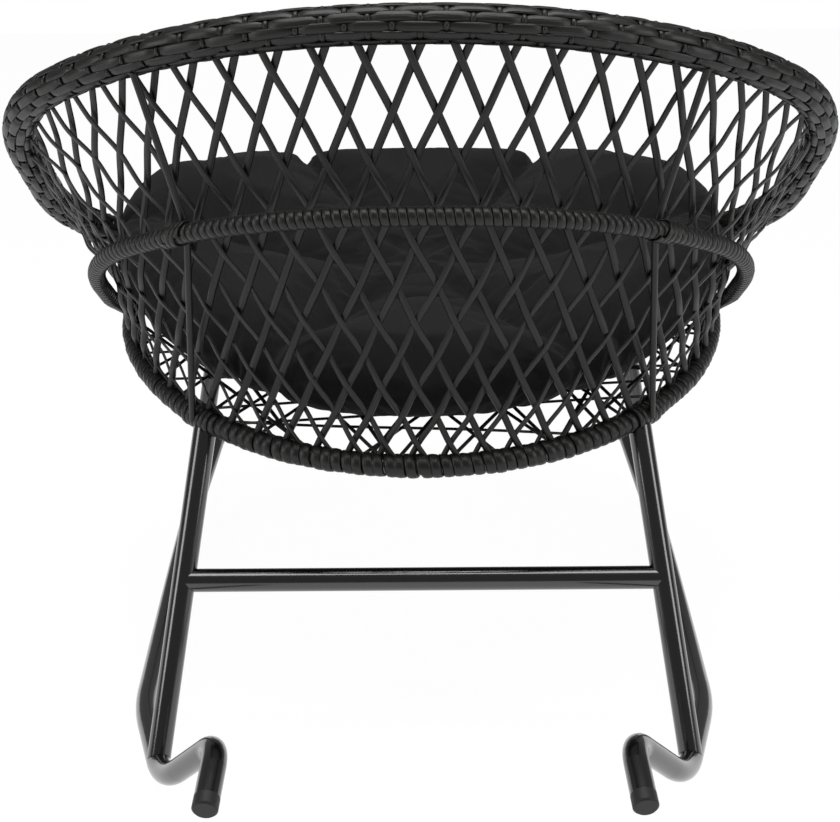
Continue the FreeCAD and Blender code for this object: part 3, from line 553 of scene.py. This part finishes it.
for hand in ("left", "right"):
    node = "strut_binding_" + hand
    middle = place_along(ring, node)
    first, last = middle - BINDING_LENGTH / 2, middle + BINDING_LENGTH / 2
    turns = winding(ring, first, last, BINDING_RADIUS - BINDING_SUNK, BINDING_PITCH, BINDING_UNEVENNESS, 7)
    binding = strands("ring_binding_" + hand, [turns], BINDING_PITCH * BINDING_OVERLAP, BINDING_THICKNESS)
    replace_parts(binding, node)
    node = "strut_lashing_" + hand
    middle = place_along(hoop, node)
    inward = -hoop.at(middle) * [1, 1, 0]
    towards_strut = math.atan2(inward @ hoop.row(hoop.lift, middle), inward @ hoop.row(hoop.side, middle))
    turn = np.linspace(0.0, LASHING_LENGTH / LASHING_PITCH, LASHING_POINTS)
    angle = turn * math.tau
    beyond = np.maximum(0.0, np.cos(angle - towards_strut)) ** 3
    slant = LASHING_SLANT * np.sin(angle - towards_strut)
    drift = middle - LASHING_LENGTH / 2 + turn * LASHING_PITCH + slant
    loops = hoop.around(drift, angle, LASHING_RADIUS + STRUT_BEYOND_HOOP * beyond)
    lashing = strands("hoop_lashing_" + hand, [loops], LASHING_PITCH * LASHING_OVERLAP, LASHING_THICKNESS)
    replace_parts(lashing, node)

# %% [markdown]
# ## Lattice
# Two families of strands lean opposite ways between rim and ring. Each passes over one strand of the
# other family and under the next. Near the ends of the hoop, the strands are pushed in behind it.

# %% Lattice
STRAND_COUNT, STRAND_WIDTH, STRAND_THICKNESS = 42, 0.0088, 0.0034
STRAND_SWEEP, STRAND_SIDE_SWEEP, STRAND_PHASE, WOVEN_SHIFT = 5.5, 1.75, 0.16, 0.93
STRAND_MOST_LEAN = 1.2
STRAND_STEP = 0.005
WEAVE_RISE = 0.0021
STRAND_APART = 0.045
SHORTEST = 0.05
WAVER = 0.0016
SOFTEN_POINTS = 17


def lattice_line(share, lean):
    top = rim.at((share - lean) * rim.length)
    bottom = ring_at(RIM_LANDING_DEG * (2 * (share + lean) - 1))
    return top, bottom


def strand_lean(share):
    """Half of what a strand crosses, as a share of the rim: most at the sides, unless the wall is low."""
    top, bottom = lattice_line(share, 0.0)
    crossed = (STRAND_SWEEP + STRAND_SIDE_SWEEP * abs(2 * share - 1)) / STRAND_COUNT
    return min(crossed, STRAND_MOST_LEAN * np.linalg.norm(top - bottom) / rim.length) / 2


def family(direction, shift):
    lines = []
    for index in range(STRAND_COUNT):
        share = (index + 0.5 + shift + STRAND_PHASE) / STRAND_COUNT
        if not 0 < share < 1:
            continue
        lean = direction * strand_lean(share)
        top, bottom = lattice_line(share, lean)
        span = np.linalg.norm(bottom - top)
        way = unit(bottom - top)
        rim_way = rim.row(rim.way, (share - lean) * rim.length)
        out = unit(np.cross(way, rim_way))
        out = out if out @ ((top + bottom) * [1, 1, 0]) > 0 else -out
        if span > SHORTEST and rim.nearest(((top + bottom) / 2)[None])[0][0] > RIM_SLEEVE_RADIUS * 1.4:
            lines.append((index, top, way, span, out))
    return lines


def passes(line, others):
    """Where a strand passes the other family: distance along it, the other's number, half the gap."""
    found = []
    for other in others:
        gap = other[1] - line[1]
        cosine = line[2] @ other[2]
        sine_squared = 1 - cosine * cosine
        along = (gap @ line[2] - cosine * (gap @ other[2])) / sine_squared
        along_other = (cosine * (gap @ line[2]) - gap @ other[2]) / sine_squared
        between = other[1] + other[2] * along_other - line[1] - line[2] * along
        if 0 < along < line[3] and 0 < along_other < other[3] and np.linalg.norm(between) < STRAND_APART:
            found.append((along, other[0], between / 2))
    return sorted(found, key=lambda item: item[0])


def eased(where, values, distance):
    """Values that go gently from stop to stop."""
    part = np.clip(np.searchsorted(where, distance) - 1, 0, len(where) - 2)
    share = (distance - where[part]) / np.maximum(where[part + 1] - where[part], 1e-6)
    ease = share * share * (3 - 2 * share)
    return values[part] * (1 - ease) + values[part + 1] * ease


def woven_line(line, others, sign):
    """A strand's points: bowed to meet the other family, and lifted over or under each strand of it."""
    number, top, way, span, out = line
    distance = np.linspace(0.0, span, max(8, round(span / STRAND_STEP)))
    found = passes(line, others)
    lifts = [sign * (1 if (number + other) % 2 else -1) * WEAVE_RISE for _, other, _ in found]
    lifts = [0.0] + lifts + [0.0]
    lift = eased(np.array([0.0] + [item[0] for item in found] + [span]), np.array(lifts), distance)
    bow = np.zeros(3)
    if found:
        arch_share = np.array([4 * a / span * (1 - a / span) for a, _, _ in found])
        halves = np.array([half for _, _, half in found])
        bow = (arch_share[:, None] * halves).sum(axis=0) / (arch_share ** 2).sum()
    share = distance / span
    waver = WAVER * np.sin(math.tau * share * 1.5 + number * 2.1) * np.sin(math.pi * share)
    points = top + np.outer(distance, way) + np.outer(4 * share * (1 - share), bow) + np.outer(lift, out)
    points += np.outer(waver, np.cross(out, way))
    apart, nearest = hoop.nearest(points)
    inward = unit(-(points * [1, 1, 0]))
    behind = ((points - nearest) * inward).sum(axis=1)
    room = HOOP_WRAP_RADIUS + STRAND_THICKNESS
    push = np.where(apart < room * 2.2, np.maximum(0.0, room - behind), 0.0)
    soften = np.hanning(SOFTEN_POINTS + 2)[1:-1]
    padded = np.pad(push, SOFTEN_POINTS // 2, mode="edge")
    push = np.convolve(padded, soften / soften.sum(), "valid")
    return points + inward * push[:, None], np.tile(out, (len(points), 1))


laid, woven = family(1, 0.0), family(-1, WOVEN_SHIFT)
laid_lines = [woven_line(line, woven, 1) for line in laid]
woven_lines = [woven_line(line, laid, -1) for line in woven]
laid_piece = strands("lattice_laid", laid_lines, STRAND_WIDTH, STRAND_THICKNESS)
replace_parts(laid_piece, "lattice_laid_strands")
woven_piece = strands("lattice_woven", woven_lines, STRAND_WIDTH, STRAND_THICKNESS)
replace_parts(woven_piece, "lattice_woven_strands")

# %% [markdown]
# ## Seat web
# Under the cushion the ring is spanned by thin strands, pulled across in three directions and none too
# evenly. Each direction is one layer. Its strands are chords of the ring with a little disorder.

# %% Seat web
WEB_PITCH, WEB_WIDTH, WEB_THICKNESS, WEB_LAYER = 0.050, 0.0055, 0.0022, 0.0023
WEB_DISORDER_DEG, WEB_SHIFT = 9.0, 0.014
RING_INSIDE = 0.012
WEB_REACH, WEB_SAG, CHORD_POINTS, WEB_SIDES = 0.36, 0.0015, 40, 6
rng = np.random.default_rng(23)
for node, turn_deg, layer in (("seat_web_cross", 0.0, -1), ("seat_web_diagonal_left", 60.0, 0),
                              ("seat_web_diagonal_right", -60.0, 1)):
    chords = []
    for offset in np.arange(-WEB_REACH, WEB_REACH + 0.001, WEB_PITCH):
        turn = math.radians(turn_deg + rng.uniform(-WEB_DISORDER_DEG, WEB_DISORDER_DEG))
        offset += rng.uniform(-WEB_SHIFT, WEB_SHIFT)
        half_w, half_d = RING_HALF_WIDTH - RING_INSIDE, RING_HALF_DEPTH - RING_INSIDE
        way = np.array([math.cos(turn) / half_w, math.sin(turn) / half_d])
        start = np.array([-math.sin(turn) * offset / half_w, math.cos(turn) * offset / half_d])
        middle = way @ start / (way @ way)
        room = middle ** 2 - (start @ start - 1) / (way @ way)
        if room <= 0:
            continue
        reach = np.linspace(-middle - math.sqrt(room), -middle + math.sqrt(room), CHORD_POINTS)
        sag = WEB_SAG * np.sin(np.linspace(0, math.pi, CHORD_POINTS) * rng.integers(1, 4))
        side = math.cos(turn) * reach - math.sin(turn) * offset
        back = math.sin(turn) * reach + math.cos(turn) * offset
        points = (ring_centre + np.outer(side, [1.0, 0, 0]) + np.outer(back, ring_backward)
                  + ring_up * (layer * WEB_LAYER) + np.outer(sag, ring_up))
        chords.append((points, np.tile(ring_up, (len(points), 1))))
    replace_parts(strands(node + "_strands", chords, WEB_WIDTH, WEB_THICKNESS, WEB_SIDES), node)

# %% [markdown]
# ## Cushion
# A round stuffed cushion, a little larger than the ring, so its rim rides up on the basket's walls and
# lies flat only at the open front. Seams from the middle divide it into six puffs. Its slack form is
# lofted here, and Blender's cloth solver then blows it up against the seams, which are held still.

# %% Cushion form
LOBES = 6
CUSHION_RADIUS, CUSHION_FLARE, CUSHION_FORWARD, CUSHION_REST = 0.368, 0.34, 0.014, 0.0045
EDGE_ANGLES = [0.0, 40.0, 90.0, 110.0, 130.0, 150.0, 180.0]
EDGE_HEIGHTS = [0.084, 0.092, 0.130, 0.135, 0.110, 0.082, 0.064]
EDGE_THICKNESS, MIDDLE_HEIGHT = 0.083, 0.052
SIDE_REACH = 0.020
SHOULDER, BELLY = 0.86, 0.55
SEAM_DEPTH, SEAM_WIDTH, SEAM_PULL = 0.014, 0.016, 0.03
TOP_POINTS, BEND_POINTS = 26, 16
FLARE_FROM = 0.03
VOXEL = 0.006
cushion_base = ring_centre - ring_backward * CUSHION_FORWARD + ring_up * CUSHION_REST
to_cushion = np.stack([np.array([1.0, 0.0, 0.0]), ring_backward, ring_up])


def to_seam(angle, radius):
    """Distance to the nearest of the seams that run out from the middle."""
    pitch = math.tau / LOBES
    return np.abs((angle + pitch) % pitch - pitch / 2) * radius


def cushion_section(angle):
    """One section from the middle of the top, round the edge, to the middle of the bottom."""
    edge = np.interp(abs(math.degrees(angle)), EDGE_ANGLES, EDGE_HEIGHTS)
    share = np.linspace(0.0, SHOULDER, TOP_POINTS)
    top = MIDDLE_HEIGHT + (edge - MIDDLE_HEIGHT) * (share / SHOULDER) ** 2.2
    bend = np.linspace(0.0, math.pi, BEND_POINTS)[1:-1]
    rim_share = SHOULDER + (1 - SHOULDER) * np.sin(bend)
    rim_height = edge - EDGE_THICKNESS / 2 + EDGE_THICKNESS / 2 * np.cos(bend)
    low_share = share[::-1]
    climb = np.clip((low_share - BELLY) / (SHOULDER - BELLY), 0.0, 1.0)
    low = (edge - EDGE_THICKNESS) * climb * climb
    share = np.concatenate([share, rim_share, low_share])
    height = np.concatenate([top, rim_height, np.maximum(low, 0.0)])
    radius = share * (CUSHION_RADIUS + CUSHION_FLARE * np.maximum(0.0, height - FLARE_FROM))
    radius += share * SIDE_REACH * math.sin(angle) ** 2
    pinch = np.exp(-(to_seam(angle, radius) / SEAM_WIDTH) ** 2) * np.clip(share * 4, 0.0, 1.0)
    upper = np.arange(len(share)) < TOP_POINTS + BEND_POINTS // 2
    return radius * (1 - SEAM_PULL * pinch * share), height - SEAM_DEPTH * pinch * upper


SPOKES = 240
MERGE = 0.0002
rows = []
for angle in np.linspace(-math.pi, math.pi, SPOKES, endpoint=False):
    radius, height = cushion_section(angle)
    local = np.stack([radius * math.sin(angle), radius * math.cos(angle), height], axis=1)
    rows.append(cushion_base + local @ to_cushion)
per_row = len(rows[0])
faces = []
for spoke in range(SPOKES):
    here, after = spoke * per_row, (spoke + 1) % SPOKES * per_row
    faces += [(here + k, here + k + 1, after + k + 1, after + k) for k in range(per_row - 1)]
slack = bpy.data.meshes.new("cushion_slack")
slack.from_pydata(np.concatenate(rows).tolist(), [], faces)
build = bmesh.new()
build.from_mesh(slack)
bmesh.ops.remove_doubles(build, verts=build.verts, dist=MERGE)
bmesh.ops.recalc_face_normals(build, faces=build.faces)
build.to_mesh(slack)
build.free()
cushion = bpy.data.objects.new("cushion", slack)
scene.collection.objects.link(cushion)


def settled(piece):
    """The piece's mesh with its modifiers applied, as it is at this frame."""
    graph = bpy.context.evaluated_depsgraph_get()
    return bpy.data.meshes.new_from_object(piece.evaluated_get(graph), depsgraph=graph)


def places(mesh):
    spots = np.empty(len(mesh.vertices) * 3)
    mesh.vertices.foreach_get("co", spots)
    return spots.reshape(-1, 3)


remesh = cushion.modifiers.new("remesh", "REMESH")
remesh.mode = "VOXEL"
remesh.voxel_size = VOXEL
even = settled(cushion)
cushion.modifiers.clear()
cushion.data = even
print("cushion", len(even.vertices), "points")

# %% Blow up the cushion
PRESSURE, FRAMES, MOST_MOVED = 4.0, 20, 0.022
CLOTH_STRETCH = -0.03
SEAM_HELD, REST_HELD = 0.006, 0.006
STITCH_DEPTH, STITCH_WIDTH = 0.004, 0.004
TOP_MARGIN = 0.02
start = places(even)
local = (start - cushion_base) @ to_cushion.T
reach = np.hypot(local[:, 0], local[:, 1])
seam_gap = to_seam(np.arctan2(local[:, 0], local[:, 1]), reach)
edge_height = np.interp(np.abs(np.degrees(np.arctan2(local[:, 0], local[:, 1]))), EDGE_ANGLES, EDGE_HEIGHTS)
on_top = local[:, 2] > edge_height - EDGE_THICKNESS / 2 - TOP_MARGIN
on_top |= (reach < CUSHION_RADIUS * SHOULDER) & (local[:, 2] > MIDDLE_HEIGHT / 2)
held = ((seam_gap < SEAM_HELD) & on_top) | (local[:, 2] < REST_HELD)
group = cushion.vertex_groups.new(name="held")
group.add(np.flatnonzero(held).tolist(), 1.0, "REPLACE")
cloth_solver = cushion.modifiers.new("cloth", "CLOTH")
settings = cloth_solver.settings
settings.quality = 4
settings.mass = 0.3
settings.tension_stiffness = settings.compression_stiffness = 12
settings.shear_stiffness = 6
settings.bending_stiffness = 0.4
settings.use_pressure = True
settings.uniform_pressure_force = PRESSURE
settings.shrink_min = CLOTH_STRETCH
settings.vertex_group_mass = "held"
settings.effector_weights.gravity = 0
cloth_solver.collision_settings.use_collision = False
cloth_solver.point_cache.frame_end = FRAMES
for frame_number in range(1, FRAMES + 1):
    scene.frame_set(frame_number)
blown = settled(cushion)
cushion.modifiers.clear()
cushion.vertex_groups.clear()
moved = places(blown) - start
far = np.linalg.norm(moved, axis=1, keepdims=True)
start = start + moved * np.minimum(1.0, MOST_MOVED / np.maximum(far, 1e-9))
scene.frame_set(1)
print("cloth moved", round(float(far.max()), 4))
stitch = STITCH_DEPTH * np.exp(-(seam_gap / STITCH_WIDTH) ** 2) * on_top
start = start - np.outer(stitch, ring_up)
even.vertices.foreach_set("co", start.ravel())
even.polygons.foreach_set("use_smooth", [True] * len(even.polygons))
even.materials.clear()
even.materials.append(cloth)
round_off = cushion.modifiers.new("round_off", "SUBSURF")
round_off.levels = round_off.render_levels = 1
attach(cushion, "cushion")
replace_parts(cushion, "cushion_cover", "cushion_filling")

# %% [markdown]
# ## Steel and caps
# These solids have the right shape already, so they keep their CAD meshes and only get their finish.

# %% Finish of the CAD pieces
CAD_FINISHES = {
    steel: ["seat_ring_tube", "rim_tube", "back_hoop_tube", "rear_leg_left", "rear_leg_right",
            "front_leg_left", "front_leg_right", "runner_left", "runner_right", "rear_stretcher"],
    plug: ["rear_cap_left", "rear_cap_right", "front_cap_left", "front_cap_right"],
    rattan: ["back_strut_left", "back_strut_right"],
}
for finish, names in CAD_FINISHES.items():
    for name in names:
        mesh = nodes[name].data
        mesh.materials.clear()
        mesh.materials.append(finish)

# %% [markdown]
# ## Floor and light
# A pale studio: a white floor that takes a soft shadow, a white backdrop for the camera and for
# reflections, and large soft lamps above.

# %% Floor, world and lamps
FLOOR_HALF = 6.0
floor_mesh = bpy.data.meshes.new("floor")
floor_corners = [(-1, -1), (1, -1), (1, 1), (-1, 1)]
floor_mesh.from_pydata([(x * FLOOR_HALF, y * FLOOR_HALF, 0) for x, y in floor_corners], [], [(0, 1, 2, 3)])
floor = bpy.data.objects.new("floor", floor_mesh)
scene.collection.objects.link(floor)
paper, tree, shader = new_material("white_studio_paper")
shader.inputs["Base Color"].default_value = colour("#F4F4F4")
shader.inputs["Roughness"].default_value = 0.9
ray = add_node(tree, "ShaderNodeLightPath")
seen = add_node(tree, "ShaderNodeMath", {0: ray.outputs["Is Camera Ray"], 1: ray.outputs["Is Glossy Ray"]},
                operation="MAXIMUM")
white = add_node(tree, "ShaderNodeEmission", {"Color": colour("#FFFFFF"), "Strength": 1.05})
share = add_node(tree, "ShaderNodeMath", {0: seen.outputs[0], 1: 0.92}, operation="MULTIPLY")
mixed = add_node(tree, "ShaderNodeMixShader",
                 {0: share.outputs[0], 1: shader.outputs[0], 2: white.outputs[0]})
tree.links.new(mixed.outputs[0], tree.nodes["Material Output"].inputs["Surface"])
floor_mesh.materials.append(paper)

WORLD_LIGHT = 0.2
world = bpy.data.worlds.new("studio")
scene.world = world
world.use_nodes = True
tree = world.node_tree
tree.nodes.clear()
ray = add_node(tree, "ShaderNodeLightPath")
seen = add_node(tree, "ShaderNodeMath",
                {0: ray.outputs["Is Camera Ray"], 1: ray.outputs["Is Transmission Ray"]},
                operation="MAXIMUM")
soft = add_node(tree, "ShaderNodeBackground", {"Color": colour("#FFFFFF"), "Strength": WORLD_LIGHT})
bright = add_node(tree, "ShaderNodeBackground", {"Color": colour("#FFFFFF"), "Strength": 1.0})
mixed = add_node(tree, "ShaderNodeMixShader",
                 {0: seen.outputs[0], 1: soft.outputs[0], 2: bright.outputs[0]})
add_node(tree, "ShaderNodeOutputWorld", {"Surface": mixed.outputs[0]})


def softbox(name, place, target, size, power):
    light = bpy.data.lights.new(name, "AREA")
    light.shape = "RECTANGLE"
    light.size, light.size_y = size
    light.energy = power
    lamp = bpy.data.objects.new(name, light)
    scene.collection.objects.link(lamp)
    lamp.location = place
    lamp.rotation_euler = (Vector(target) - Vector(place)).to_track_quat("-Z", "Y").to_euler()
    return lamp


OVERHEAD_WATTS, SIDE_WATTS = 40, 16
CHAIR_MIDDLE = (0, 0, 0.5)
softbox("overhead", (0.0, 0.4, 2.6), CHAIR_MIDDLE, (2.2, 1.2), OVERHEAD_WATTS)
for side, name in ((1, "side_left"), (-1, "side_right")):
    softbox(name, (2.2 * side, 1.2, 1.4), CHAIR_MIDDLE, (0.7, 1.8), SIDE_WATTS)
